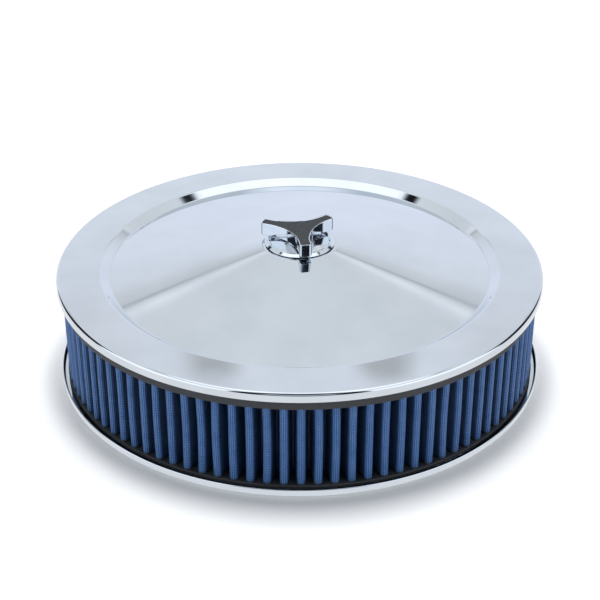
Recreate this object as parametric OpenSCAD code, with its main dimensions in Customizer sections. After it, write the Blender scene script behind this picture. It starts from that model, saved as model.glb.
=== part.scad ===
// Round carburettor air cleaner: chromed lid and drop base around a pleated gauze element.
// Millimetres, Z up. The origin is the centre of the ring that the base pan stands on.

/* [Element] */
// Outer radius of the element, over its end seals
element_r = 174.6; // [168:0.1:182]
// Radial width of the element, over its end seals
element_w = 19.1; // [17:0.1:24]
// Height of the element from the face of one seal to the other
element_h = 76.2; // [56:0.1:102]
// Number of pleats around the element
pleat_count = 96; // [72:1:108]
// How far the outer folds lie inside the seals
pleat_inset = 0.6; // [0.3:0.1:2]
// How far the inner folds lie inside the seals
pleat_inset_in = 1.0; // [0.5:0.1:2]
// Radius of the outer folds
fold_r = 2.8; // [2.6:0.1:3.2]
// Radius left open at the bottom of each outer valley
valley_r = 0.8; // [0.5:0.1:1.2]
// Thickness of the wire cloth on each face of the pack
mesh_t = 0.4; // [0.3:0.05:0.5]
// Thickness of the cotton gauze between the wire cloths
gauze_t = 1.6; // [1.2:0.1:1.7]
// Height of the top seal
top_seal_h = 9.8; // [8:0.1:14]
// Height of the bottom seal
bottom_seal_h = 3.0; // [2.4:0.1:9]
// Rounding of the seals' edges
seal_edge_r = 0.8; // [0.4:0.1:1.6]
// Thickness of the clip that joins the two ends of the pack
clip_t = 0.5; // [0.3:0.1:0.6]
// Length of the clip's legs along the pleat walls
clip_leg_len = 5; // [3:0.5:7]

/* [Lid] */
// Sheet thickness of the lid
lid_t = 1; // [0.8:0.1:1.5]
// Gap between the element and the lid's rim
lid_gap = 2.2; // [1:0.1:4]
// Height of the lid's turned-down rim
lid_rim_h = 6.8; // [5:0.1:9]
// Inside bend radius of the rim
lid_bend_r = 0.8; // [0.5:0.1:1.2]
// How far the flat outer ring reaches inside the element
lid_land = 9.2; // [7:0.1:12]
// Radial run of the step inside the flat ring
step_run = 6.7; // [6:0.1:9]
// Drop of the step
step_drop = 4.6; // [3:0.1:5.5]
// Inside bend radius of the step
step_bend_r = 2; // [1:0.1:2.5]
// Rise of the shallow cone from the step to the nut's seat
crown_rise = 20.1; // [15:0.1:25]
// Radius of the flat seat under the nut
crown_r = 28; // [27.5:0.1:34]
// Inside bend radius between the cone and the seat
crown_bend_r = 9; // [3:0.5:12]
// Gap around the stud in the lid's hole
stud_hole_gap = 0.4; // [0.2:0.05:0.8]

/* [Base pan] */
// Sheet thickness of the base pan
base_t = 1; // [0.8:0.1:1.3]
// Gap between the element and the pan's lip
base_gap = 3.4; // [2:0.1:6]
// Height of the pan's turned-up lip
base_rim_h = 5.5; // [4.5:0.1:8]
// Inside bend radius of the lip
base_bend_r = 1.2; // [0.8:0.1:1.6]
// Width of the ring that the pan stands on
foot_w = 6.6; // [5.5:0.1:8]
// Height of the element's seat above that ring
seat_step = 1.9; // [1.5:0.1:3]
// Gap between the element and the foot of its locating bead
bead_gap = 1; // [0.5:0.1:2]
// Height of the locating bead
bead_h = 3; // [2.6:0.1:4]
// Width of the bead's crest
bead_w = 2.6; // [2.4:0.1:4]
// Run of each side of the bead
bead_run = 2.5; // [2.2:0.1:3]
// Flat left between the bead and the pan's inner wall
floor_w = 4; // [3.2:0.1:6]
// Gap between the breather fitting's flange and the raised platform's edge
platform_edge_gap = 9.5; // [8:0.5:14]
// Height of the raised platform's top
platform_h = 26; // [22:0.1:30]
// Inside bend radius of the pan's inner wall
wall_bend_r = 5; // [2:0.5:6]

/* [Neck] */
// Bore radius of the neck that fits over the carburettor's air horn
neck_r = 65.09; // [60:0.01:67]
// Length of the neck below the platform's top
neck_len = 11; // [9:0.5:16]
// Inside bend radius of the neck
neck_bend_r = 1.5; // [1:0.1:2.5]
// Gap between the neck's bend and its gasket
gasket_gap = 0.2; // [0.1:0.1:0.6]
// Width of the neck gasket
gasket_w = 7.6; // [5:0.1:8.5]
// Thickness of the neck gasket
gasket_t = 3.5; // [2:0.1:5]

/* [Stud and nut] */
// Radius of the stud's thread
stud_r = 3.175; // [3:0.005:3.5]
// Length of the stud
stud_len = 76.2; // [60:0.1:78]
// Radius of the stud's shank between its threads
shank_r = 2.75; // [2.4:0.05:2.9]
// Length of the stud's upper thread
upper_thread = 26; // [20:1:32]
// Length of the stud's lower thread
lower_thread = 20; // [12:1:26]
// Chamfer on the stud's ends
stud_chamfer = 0.6; // [0.3:0.1:1]
// Radial clearance of the nut's bore on the stud
thread_fit = 0.05; // [0.02:0.01:0.1]
// Gap between the stud's end and the bottom of the nut's bore
stud_end_gap = 0.5; // [0.3:0.1:1.5]
// Outer radius of the sealing washer under the nut
washer_r = 12; // [9:0.5:16]
// Thickness of the sealing washer
washer_t = 1.6; // [1.4:0.1:2]
// Gap around the stud in the washer
washer_gap = 0.3; // [0.2:0.05:0.6]
// Gap between the nut's flange and the lid
flange_gap = 0.3; // [0.2:0.05:0.6]
// Outer radius of the nut's flange
flange_r = 25.8; // [24:0.1:27]
// Height of the flange's rim
flange_h = 2.1; // [1.9:0.1:2.4]
// Radial run of the flange's outer bevel
flange_bevel = 2.4; // [1.5:0.1:3]
// Thickness of the flange at its outer edge
flange_edge = 0.5; // [0.3:0.1:0.9]
// Width of the flange's crest
flange_crest = 0.8; // [0.5:0.1:1.2]
// Radial run from the crest down to the dish
dish_run = 1.5; // [1:0.1:2.5]
// Thickness of the flange at the bottom of its dish
dish_t = 1; // [0.8:0.1:1.4]
// Radius from the nut's axis to the ends of its arms
arm_r = 29; // [27:0.1:34]
// Width of an arm at its end
arm_w = 9.5; // [8.5:0.1:11]
// Radius from the nut's axis to the hollow between two arms
waist_r = 10.4; // [9:0.1:12]
// Height of the arms
arm_h = 9.4; // [8.8:0.1:12]
// Height of the arms' underside above the flange's underside
arm_lift = 2.9; // [2.7:0.1:4]
// How far the hub under the arms lies inside the hollows between them
hub_inset = 0.4; // [0.2:0.1:1]
// Height of the hub's straight side under the arms
hub_side = 0.5; // [0.3:0.1:1.2]
// Width of the raised edge around the nut's top face
face_edge = 0.9; // [0.5:0.1:1.3]
// Depth of the recess in the nut's top face
face_depth = 0.8; // [0.6:0.1:1]
// Metal left between the recess and the end of the nut's bore
face_wall = 1.1; // [0.8:0.1:1.5]
// Thickness of the dark inlay in the recess
inlay_t = 0.35; // [0.2:0.05:0.5]
// Gap around the inlay
inlay_gap = 0.1; // [0.05:0.05:0.2]
// Direction of the nut's front arm
nut_turn = -81; // [-180:1:180]

/* [Breather] */
// Gap between the breather fitting's flange and the neck gasket
breather_gap = 3.1; // [2:0.1:5]
// Direction of the breather fitting
breather_turn = 135; // [0:5:355]
// Outer radius of the breather's hose tube
tube_r = 9.5; // [8:0.1:9.8]
// Wall of the hose tube
tube_wall = 2; // [1.2:0.1:3]
// Length of the hose tube below its flange
tube_len = 17.5; // [12:0.5:18]
// Radius of the fitting's threaded body
body_r = 10; // [9.9:0.1:10.8]
// Radius of the fitting's flange
fitting_flange_r = 15; // [13.5:0.1:15.5]
// Thickness of the fitting's flange
fitting_flange_t = 2; // [1.5:0.1:3]
// Thickness of the breather's flat gasket
breather_gasket_t = 1.5; // [1:0.1:2]
// Gap around the fitting's body in the pan, the gasket and the nut
body_gap = 0.1; // [0.05:0.05:0.3]
// Width of the breather nut across its flats
breather_nut_w = 26; // [24:0.5:30]
// Thickness of the breather nut
breather_nut_t = 5; // [3:0.5:7]
// How far the chamfer on the breather nut's corners reaches inside them
breather_nut_edge = 1.4; // [0.8:0.1:1.8]
// Length of the fitting's body that stands out of its nut
body_stand = 1; // [0.5:0.5:3]

/* [Hidden] */
$fn = 96;

// Straight pieces that make up each bend of a sheet, and each fold of a pleat
bend_steps = 6;
fold_steps = 4;
valley_steps = 3;

// Clearance between the layers of the pack
layer_gap = 0.02;
// How far a cut runs past the face that it leaves
cut_over = 1;

// Levels, from the ring that the pan stands on upwards
seat_z = seat_step + base_t;
lid_z = seat_z + element_h + lid_t;
pack_z = seat_z + bottom_seal_h;
pack_top_z = seat_z + element_h - top_seal_h;
crown_z = lid_z - step_drop + crown_rise;
nut_z = crown_z + flange_gap;
recess_z = nut_z + arm_lift + arm_h - face_depth;
bore_end_z = recess_z - face_wall;
stud_top_z = bore_end_z - stud_end_gap;
stud_z = stud_top_z - stud_len;
platform_under_z = platform_h - base_t;
neck_end_z = platform_h - neck_len;

// Radii of the element's inside and of the two pans
element_in_r = element_r - element_w;
lid_r = element_r + lid_gap + lid_t;
step_r = element_in_r - lid_land;
base_r = element_r + base_gap + base_t;
bead_foot_r = element_in_r - bead_gap;
wall_foot_r = bead_foot_r - 2 * bead_run - bead_w - floor_w;
gasket_in_r = neck_r + base_t + neck_bend_r + gasket_gap;

// The platform is as wide as the neck, its gasket and the breather need
breather_reach = gasket_in_r + gasket_w + breather_gap + fitting_flange_r;
platform_r = breather_reach + fitting_flange_r + platform_edge_gap;

// The pack: centres of its outer and inner folds, and the lean of the walls between them
pack_t = 2 * mesh_t + gauze_t;
pleat_deg = 360 / pleat_count;
first_pleat = -89.7;
out_c = element_r - pleat_inset - fold_r;
in_c = element_in_r + pleat_inset_in + valley_r + pack_t;
wall_run = [in_c * cos(pleat_deg / 2) - out_c, in_c * sin(pleat_deg / 2)];
wall_deg = atan2(wall_run[1], wall_run[0]) - acos((fold_r + valley_r) / norm(wall_run));

// The nut's outline: each hollow between two arms is an arc through the arms' corners
arm_deg = 120;
corner_u = arm_r * cos(arm_deg / 2) + arm_w / 2 * sin(arm_deg / 2);
corner_v = arm_r * sin(arm_deg / 2) - arm_w / 2 * cos(arm_deg / 2);
hollow_r = ((corner_u - waist_r) ^ 2 + corner_v ^ 2) / (2 * (corner_u - waist_r));
hub_r = waist_r - hub_inset;

function turned(v, a) = [v[0] * cos(a) - v[1] * sin(a), v[0] * sin(a) + v[1] * cos(a)];
function polar(r, a) = [r * cos(a), r * sin(a)];
function left(u) = [-u[1], u[0]];
function leg(p, i) = let (v = [p[i + 1][0] - p[i][0], p[i + 1][1] - p[i][1]]) v / norm(v);
function cross_of(a, b) = a[0] * b[1] - a[1] * b[0];

// A corner of the path p, moved by d to the left of the path
function moved(p, i, d) =
    let (at = [p[i][0], p[i][1]], last = len(p) - 1)
    i == 0 ? at + d * left(leg(p, 0)) :
    i == last ? at + d * left(leg(p, last - 1)) :
    at + d * (left(leg(p, i - 1)) + left(leg(p, i))) / (1 + leg(p, i - 1) * leg(p, i));

// Points of the bend at corner c between the directions a and b
function bend(c, a, b, r) =
    let (side = sign(cross_of(a, b)), deg = acos(a * b), from = c - r * tan(deg / 2) * a)
    let (middle = from + side * r * left(a))
    [for (k = [0:bend_steps]) middle + turned(from - middle, side * deg * k / bend_steps)];

// One face of a sheet of thickness t, at the distance d to the right of the path.
// Each point of the path is [radius, height, inside bend radius].
function face(p, d, t) = [
    for (i = [0:len(p) - 1])
    each i == 0 || i == len(p) - 1 ? [moved(p, i, -d)] :
    let (a = leg(p, i - 1), b = leg(p, i))
    bend(moved(p, i, -d), a, b, p[i][2] + (cross_of(a, b) > 0 ? d : t - d))
];

// A pressed sheet: both faces of the path, turned about the axis
module pressed(path, t) {
    outer_face = face(path, 0, t);
    inner_face = face(path, t, t);
    count = len(inner_face);
    rotate_extrude($fn = 180)
        polygon(concat(outer_face, [for (k = [1:count]) inner_face[count - k]]));
}

// A ring with rounded edges
module soft_ring(r_in, r_out, z, h, edge) {
    translate([0, 0, z])
        rotate_extrude($fn = 180)
            union() {
                translate([r_in + edge, 0])
                    square([r_out - r_in - 2 * edge, h]);
                translate([r_in, edge])
                    square([r_out - r_in, h - 2 * edge]);
                for (x = [r_in + edge, r_out - edge], y = [edge, h - edge])
                    translate([x, y])
                        circle(edge, $fn = 32);
            }
}

// A plain ring with square edges
module flat_ring(r_in, r_out, z, h) {
    translate([0, 0, z])
        difference() {
            cylinder(h = h, r = r_out);
            translate([0, 0, -cut_over])
                cylinder(h = h + 2 * cut_over, r = r_in);
        }
}

// The pleated line at the depth d below the pack's outer face
function pleated(d) = [
    for (k = [0:pleat_count - 1])
    let (out_a = first_pleat + k * pleat_deg, in_a = out_a + pleat_deg / 2)
    each concat(
        [for (s = [0:fold_steps])
            polar(out_c, out_a) + polar(fold_r - d, out_a - wall_deg + 2 * wall_deg * s / fold_steps)],
        valley(d, in_a, wall_deg - pleat_deg / 2, valley_steps)
    )
];

// The inner fold in the direction a, from one wall to the next, at the depth d
function valley(d, a, half, steps) = [
    for (s = [0:steps])
    polar(in_c, a) + polar(valley_r + d, a + 180 + half - 2 * half * s / steps)
];

// One layer of the pack between two depths
module layer(d_from, d_to) {
    translate([0, 0, pack_z])
        linear_extrude(pack_top_z - pack_z)
            difference() {
                polygon(pleated(d_from));
                polygon(pleated(d_to));
            }
}

module outer_wire_cloth() {
    color("#24405f")
        layer(0, mesh_t);
}

module cotton_gauze() {
    color("#3f66a8")
        layer(mesh_t + layer_gap, mesh_t + gauze_t - layer_gap);
}

module inner_wire_cloth() {
    color("#24405f")
        layer(mesh_t + gauze_t, pack_t);
}

// Channel over the inner fold where the two ends of the pleated strip meet
module pack_clip() {
    clip_a = first_pleat + (round(pleat_count / 2) + 0.5) * pleat_deg;
    half = wall_deg - pleat_deg / 2;
    near = valley(pack_t + layer_gap, clip_a, half, fold_steps + valley_steps);
    far = valley(pack_t + clip_t, clip_a, half, fold_steps + valley_steps);
    count = len(far);
    leg_a = polar(clip_leg_len, clip_a - 90 + half);
    leg_b = polar(clip_leg_len, clip_a + 90 - half);
    color("#9a9c9e")
        translate([0, 0, pack_z])
            linear_extrude(pack_top_z - pack_z)
                polygon(concat(
                    [near[0] + leg_a],
                    near,
                    [near[count - 1] + leg_b, far[count - 1] + leg_b],
                    [for (k = [1:count]) far[count - k]],
                    [far[0] + leg_a]
                ));
}

module top_seal() {
    color("#3d4043")
        soft_ring(element_in_r, element_r, pack_top_z, top_seal_h, seal_edge_r);
}

module bottom_seal() {
    color("#202224")
        soft_ring(element_in_r, element_r, seat_z, bottom_seal_h, seal_edge_r);
}

// Lid: its upper face from the stud hole out to the lower edge of the rim
module lid() {
    path = [
        [stud_r + stud_hole_gap, crown_z],
        [crown_r, crown_z, crown_bend_r],
        [step_r - step_run, lid_z - step_drop, step_bend_r],
        [step_r, lid_z, step_bend_r],
        [lid_r, lid_z, lid_bend_r],
        [lid_r, lid_z - lid_rim_h]
    ];
    color("#d6dde4")
        pressed(path, lid_t);
}

// Base pan: its lower face from the top of the lip in to the end of the neck
module base_pan() {
    bead_a = bead_foot_r - bead_run;
    bead_b = bead_a - bead_w;
    path = [
        [base_r, base_rim_h],
        [base_r, 0, base_bend_r],
        [base_r - foot_w, 0, base_bend_r],
        [base_r - foot_w - seat_step, seat_step, base_bend_r],
        [bead_foot_r, seat_step, base_bend_r / 2],
        [bead_a, seat_step + bead_h, base_bend_r / 2],
        [bead_b, seat_step + bead_h, base_bend_r / 2],
        [bead_b - bead_run, seat_step, base_bend_r / 2],
        [wall_foot_r, seat_step, base_bend_r],
        [platform_r, platform_under_z, wall_bend_r],
        [neck_r + base_t, platform_under_z, neck_bend_r],
        [neck_r + base_t, neck_end_z]
    ];
    color("#ced5dc")
        difference() {
            pressed(path, base_t);
            at_breather(platform_under_z - cut_over)
                cylinder(h = base_t + 2 * cut_over, r = body_r + body_gap);
        }
}

module neck_gasket() {
    color("#2a2b2c")
        flat_ring(gasket_in_r, gasket_in_r + gasket_w, platform_under_z - gasket_t, gasket_t);
}

module stud() {
    color("#b9bcc0")
        translate([0, 0, stud_z])
            rotate_extrude()
                polygon([
                    [0, 0],
                    [stud_r - stud_chamfer, 0],
                    [stud_r, stud_chamfer],
                    [stud_r, lower_thread],
                    [shank_r, lower_thread + stud_chamfer],
                    [shank_r, stud_len - upper_thread - stud_chamfer],
                    [stud_r, stud_len - upper_thread],
                    [stud_r, stud_len - stud_chamfer],
                    [stud_r - stud_chamfer, stud_len],
                    [0, stud_len]
                ]);
}

module at_breather(z) {
    rotate([0, 0, breather_turn])
        translate([breather_reach, 0, z])
            children();
}

module breather_fitting() {
    flange_z = platform_under_z - breather_gasket_t - fitting_flange_t;
    body_len = breather_gasket_t + base_t + breather_nut_t + body_stand;
    color("#c2c6ca")
        at_breather(flange_z)
            difference() {
                union() {
                    translate([0, 0, -tube_len])
                        cylinder(h = tube_len + fitting_flange_t, r = tube_r);
                    cylinder(h = fitting_flange_t, r = fitting_flange_r);
                    cylinder(h = fitting_flange_t + body_len, r = body_r);
                }
                translate([0, 0, -tube_len - cut_over])
                    cylinder(h = tube_len + fitting_flange_t + body_len + 2 * cut_over, r = tube_r - tube_wall);
            }
}

module breather_gasket() {
    color("#2a2b2c")
        at_breather(platform_under_z - breather_gasket_t)
            flat_ring(body_r + body_gap, fitting_flange_r, 0, breather_gasket_t);
}

module breather_nut() {
    corner_r = breather_nut_w / 2 / cos(30);
    color("#b9bcc0")
        at_breather(platform_h)
            difference() {
                intersection() {
                    cylinder(h = breather_nut_t, r = corner_r, $fn = 6);
                    cylinder(h = breather_nut_t, r1 = corner_r - breather_nut_edge + breather_nut_t,
                        r2 = corner_r - breather_nut_edge);
                }
                translate([0, 0, -cut_over])
                    cylinder(h = breather_nut_t + 2 * cut_over, r = body_r + body_gap);
            }
}

module nut_washer() {
    color("#1f2021")
        flat_ring(stud_r + washer_gap, washer_r, crown_z, washer_t);
}

// The nut's three-armed outline, drawn in by the distance d on every side.
// The end of each arm runs past its corners, which the two circles beside it cut.
module arms(d) {
    half_end = arm_w / 2 + cut_over;
    difference() {
        polygon([
            for (k = [0:2])
            each [turned([arm_r - d, -half_end], arm_deg * k), turned([arm_r - d, half_end], arm_deg * k)]
        ]);
        for (k = [0:2])
            rotate(arm_deg * (k + 0.5))
                translate([waist_r + hollow_r, 0])
                    circle(hollow_r + d, $fn = 180);
    }
}

module at_nut(h) {
    translate([0, 0, h])
        rotate([0, 0, nut_turn])
            children();
}

// The nut's dished flange and hub, with the pocket for its washer
module nut_flange() {
    crest_r = flange_r - flange_bevel;
    dish_r = crest_r - flange_crest - dish_run;
    pocket_h = washer_t - flange_gap;
    rotate_extrude($fn = 180)
        polygon([
            [0, pocket_h],
            [washer_r + washer_gap, pocket_h],
            [washer_r + washer_gap, 0],
            [flange_r - flange_edge, 0],
            [flange_r, flange_edge],
            [crest_r, flange_h],
            [crest_r - flange_crest, flange_h],
            [dish_r, dish_t],
            [hub_r, arm_lift - hub_side],
            [hub_r, arm_lift + cut_over],
            [0, arm_lift + cut_over]
        ]);
}

module wing_nut() {
    color("#cfd6dd")
        difference() {
            union() {
                at_nut(nut_z)
                    nut_flange();
                at_nut(nut_z + arm_lift)
                    linear_extrude(arm_h)
                        arms(0);
            }
            at_nut(recess_z)
                linear_extrude(face_depth + cut_over)
                    arms(face_edge);
            translate([0, 0, nut_z - cut_over])
                cylinder(h = bore_end_z - nut_z + cut_over, r = stud_r + thread_fit);
        }
}

module nut_face_inlay() {
    color("#56595d")
        at_nut(recess_z)
            linear_extrude(inlay_t)
                arms(face_edge + inlay_gap);
}

lid();
base_pan();
outer_wire_cloth();
cotton_gauze();
inner_wire_cloth();
pack_clip();
top_seal();
bottom_seal();
neck_gasket();
stud();
breather_fitting();
breather_gasket();
breather_nut();
nut_washer();
wing_nut();
nut_face_inlay();
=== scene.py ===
import logging
import math
from dataclasses import dataclass, field
from enum import Enum
from typing import Any, Sequence

import bpy
import numpy as np
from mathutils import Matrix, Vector


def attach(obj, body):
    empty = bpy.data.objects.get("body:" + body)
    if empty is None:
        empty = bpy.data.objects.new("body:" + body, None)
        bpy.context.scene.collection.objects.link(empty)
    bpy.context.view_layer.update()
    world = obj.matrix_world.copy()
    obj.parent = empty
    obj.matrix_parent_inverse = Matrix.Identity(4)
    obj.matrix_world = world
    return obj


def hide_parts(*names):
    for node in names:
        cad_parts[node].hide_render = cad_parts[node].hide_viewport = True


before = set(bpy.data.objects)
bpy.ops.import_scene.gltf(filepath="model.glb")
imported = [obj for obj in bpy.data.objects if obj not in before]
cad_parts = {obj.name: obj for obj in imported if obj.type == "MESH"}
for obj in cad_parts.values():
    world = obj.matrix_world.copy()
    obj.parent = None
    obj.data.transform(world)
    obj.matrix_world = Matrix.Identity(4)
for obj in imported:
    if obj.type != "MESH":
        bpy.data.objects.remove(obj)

LOG = logging.getLogger("air_cleaner")

# Lengths in the dataclasses are millimetres, Blender's are metres.
MM = 0.001
# Segments of a surface turned about the axis, for the big pans and for small parts.
PAN_SEGMENTS = 512
BASE_SEGMENTS = 384
SMALL_SEGMENTS = 128
# Turns and lengths below this count as none.
TINY = 1e-6
# Share of a sheet's thickness that rounds each side of its cut edges.
EDGE_SHARE = 0.49


class Body(Enum):
    """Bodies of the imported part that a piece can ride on."""

    HOUSING = "housing"
    WASHER = "washer"
    NUT = "nut"


# Small helpers


def linear(hex_colour: str) -> tuple[float, float, float, float]:
    """Turns an sRGB hex colour into the linear colour that a shader takes.

    Args:
        hex_colour: Colour such as "#a0b1c2".

    Returns:
        Linear red, green, blue and an alpha of 1.
    """
    values = [int(hex_colour[i : i + 2], 16) / 255 for i in (1, 3, 5)]
    parts = [v / 12.92 if v <= 0.04045 else ((v + 0.055) / 1.055) ** 2.4 for v in values]
    return (parts[0], parts[1], parts[2], 1.0)


def add(
    tree: bpy.types.NodeTree,
    kind: str,
    inputs: dict[Any, Any] | None = None,
    out: int | str = 0,
    stops: Sequence[tuple[float, str]] = (),
    **settings: Any,
) -> bpy.types.NodeSocket | None:
    """Adds a node with its settings, values and links.

    Args:
        tree: Node tree of a material or world.
        kind: Type of the node.
        inputs: Values by input name or index; a socket is linked, anything else is set on the input.
        out: Output that is returned.
        stops: Places and hex colours of a colour ramp.
        **settings: Attributes of the node.

    Returns:
        The chosen output of the new node, or None for a node that has none.
    """
    node = tree.nodes.new(kind)
    for name, value in settings.items():
        setattr(node, name, value)
    if stops:
        elements = node.color_ramp.elements
        while len(elements) < len(stops):
            elements.new(1.0)
        for element, (place, colour) in zip(elements, stops):
            element.position = place
            element.color = linear(colour)
    for name, value in (inputs or {}).items():
        if isinstance(value, bpy.types.NodeSocket):
            tree.links.new(value, node.inputs[name])
        else:
            node.inputs[name].default_value = value
    return node.outputs[out] if node.outputs else None


# Sections and meshes


@dataclass(frozen=True)
class Corner:
    """Corner of a section: radius from the axis, height and rounding, in millimetres."""

    r: float
    z: float
    bend: float = 0.0


def rounded(corners: Sequence[Corner], steps: int) -> np.ndarray:
    """Rounds the corners of a closed section and gives the exact normal at each point.

    Args:
        corners: Corners in order, with the material on the left of the way round.
        steps: Straight pieces in each rounded corner.

    Returns:
        Rows of radius, height, normal's radius part and normal's height part.
    """
    points = np.array([[c.r, c.z] for c in corners])
    count = len(points)
    rows: list[list[float]] = []
    for i, corner in enumerate(corners):
        back = points[i] - points[i - 1]
        ahead = points[(i + 1) % count] - points[i]
        a, b = back / np.linalg.norm(back), ahead / np.linalg.norm(ahead)
        turn = math.atan2(a[0] * b[1] - a[1] * b[0], float(a @ b))
        if abs(turn) < TINY or corner.bend <= 0:
            for d in (a, b):
                rows.append([*points[i], d[1], -d[0]])
            continue
        reach = corner.bend * math.tan(abs(turn) / 2)
        start = points[i] - reach * a
        side = math.copysign(1.0, turn)
        centre = start + side * corner.bend * np.array([-a[1], a[0]])
        for k in range(steps + 1):
            angle = turn * k / steps
            d = np.array([a[0] * math.cos(angle) - a[1] * math.sin(angle),
                          a[0] * math.sin(angle) + a[1] * math.cos(angle)])
            normal = np.array([d[1], -d[0]])
            rows.append([*(centre + side * corner.bend * normal), *normal])
    return np.array(rows)


def sheet_section(path: Sequence[Corner], thickness: float, steps: int) -> np.ndarray:
    """Gives the section of a pressed sheet, both faces and the rounded cut edges.

    Args:
        path: Corners of one face, with the sheet on its right; ``bend`` is the inside bend radius.
        thickness: Thickness of the sheet.
        steps: Straight pieces in each bend.

    Returns:
        The section's points and normals, as ``rounded`` gives them.
    """
    points = np.array([[c.r, c.z] for c in path])
    legs = np.diff(points, axis=0)
    legs /= np.linalg.norm(legs, axis=1)[:, None]
    right = np.stack([legs[:, 1], -legs[:, 0]], axis=1)
    edge = thickness * EDGE_SHARE
    face: list[Corner] = []
    under: list[Corner] = []
    last = len(path) - 1
    for i, corner in enumerate(path):
        before, after = right[max(i - 1, 0)], right[min(i, last - 1)]
        shift = (before + after) / (1 + float(before @ after))
        other = points[i] + thickness * shift
        if i in (0, last):
            face.append(Corner(*points[i], edge))
            under.append(Corner(*other, edge))
            continue
        bends_left = legs[i - 1][0] * legs[i][1] - legs[i - 1][1] * legs[i][0] > 0
        inner, outer = corner.bend, corner.bend + thickness
        face.append(Corner(*points[i], inner if bends_left else outer))
        under.append(Corner(*other, outer if bends_left else inner))
    return rounded((face + under[::-1])[::-1], steps)


def piece_from(
    name: str,
    vertices: np.ndarray,
    faces: Sequence[Sequence[int]],
    normals: np.ndarray | None = None,
    uv: np.ndarray | None = None,
) -> bpy.types.Object:
    """Makes an object from vertices in millimetres.

    Args:
        name: Name of the object.
        vertices: Rows of x, y, z.
        faces: Vertex numbers of each face.
        normals: Exact normal at each vertex, for reflections without facets.
        uv: Millimetre coordinates on the surface at each vertex.

    Returns:
        The new object, linked to the scene.
    """
    mesh = bpy.data.meshes.new(name)
    mesh.from_pydata((vertices * MM).tolist(), [], [list(f) for f in faces])
    mesh.polygons.foreach_set("use_smooth", [True] * len(mesh.polygons))
    if uv is not None:
        loops = np.empty(len(mesh.loops), dtype=np.int32)
        mesh.loops.foreach_get("vertex_index", loops)
        layer = mesh.uv_layers.new(name="surface_mm")
        layer.data.foreach_set("uv", uv[loops].astype(np.float32).ravel())
    if normals is not None:
        mesh.normals_split_custom_set_from_vertices(normals.tolist())
    mesh.update()
    obj = bpy.data.objects.new(name, mesh)
    bpy.context.scene.collection.objects.link(obj)
    return obj


def grid_faces(rows: int, columns: int, close_rows: bool) -> list[list[int]]:
    """Numbers the quads of a grid of vertices whose last column joins the first.

    Args:
        rows: Vertices in one direction.
        columns: Vertices in the other direction, which runs fastest.
        close_rows: Whether the last row joins the first.

    Returns:
        Vertex numbers of each quad.
    """
    faces = []
    for i in range(rows if close_rows else rows - 1):
        ahead = (i + 1) % rows
        for j in range(columns):
            beside = (j + 1) % columns
            faces.append([i * columns + j, ahead * columns + j,
                          ahead * columns + beside, i * columns + beside])
    return faces


def turned_mesh(section: np.ndarray, segments: int) -> tuple[np.ndarray, list[list[int]], np.ndarray]:
    """Turns a section about the axis.

    Args:
        section: Rows that ``rounded`` gives.
        segments: Segments round the axis.

    Returns:
        Vertices, faces and normals.
    """
    angles = np.linspace(0, 2 * math.pi, segments, endpoint=False)
    cos, sin = np.cos(angles)[:, None], np.sin(angles)[:, None]
    flat = np.ones_like(cos)
    vertices = np.stack([cos * section[:, 0], sin * section[:, 0], flat * section[:, 1]], axis=2)
    normals = np.stack([cos * section[:, 2], sin * section[:, 2], flat * section[:, 3]], axis=2)
    faces = grid_faces(segments, len(section), True)
    return vertices.reshape(-1, 3), faces, normals.reshape(-1, 3)


def turned_piece(name: str, section: np.ndarray, segments: int) -> bpy.types.Object:
    """Makes an object by turning a section about the axis.

    Args:
        name: Name of the object.
        section: Rows that ``rounded`` gives.
        segments: Segments round the axis.

    Returns:
        The new object.
    """
    vertices, faces, normals = turned_mesh(section, segments)
    return piece_from(name, vertices, faces, normals)


def place(obj: bpy.types.Object, body: Body, slot: str, material: bpy.types.Material, *nodes: str) -> None:
    """Dresses a new piece, puts it on its body and hides the CAD nodes that it stands for.

    Args:
        obj: The piece.
        body: Body that it rides on.
        slot: Not used.
        material: Its material.
        *nodes: CAD nodes that it stands for.
    """
    obj.data.materials.append(material)
    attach(obj, body.value)
    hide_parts(*nodes)
    LOG.info("piece %s on %s: %d faces", obj.name, body.value, len(obj.data.polygons))


def dress(node: str, material: bpy.types.Material) -> None:
    """Gives a CAD node that keeps its shape its material.

    Args:
        node: Name of the node.
        material: Material for all its slots.
    """
    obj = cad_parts[node]
    if not obj.material_slots:
        obj.data.materials.append(material)
    for slot in obj.material_slots:
        slot.material = material
    LOG.info("node %s keeps its CAD shape", node)


# Finishes


class Finish:
    """A finish that can be made into a material."""

    name: str

    def shade(self, tree: bpy.types.NodeTree) -> bpy.types.NodeSocket:
        """Adds the finish's nodes and gives its shader.

        Args:
            tree: The material's node tree.

        Returns:
            The shader's output.
        """
        raise NotImplementedError

    def build(self) -> bpy.types.Material:
        """Makes the material.

        Returns:
            The material, named for the real finish.
        """
        material = bpy.data.materials.new(self.name)
        material.use_nodes = True
        tree = material.node_tree
        tree.nodes.clear()
        add(tree, "ShaderNodeOutputMaterial", {"Surface": self.shade(tree)})
        return material


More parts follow.
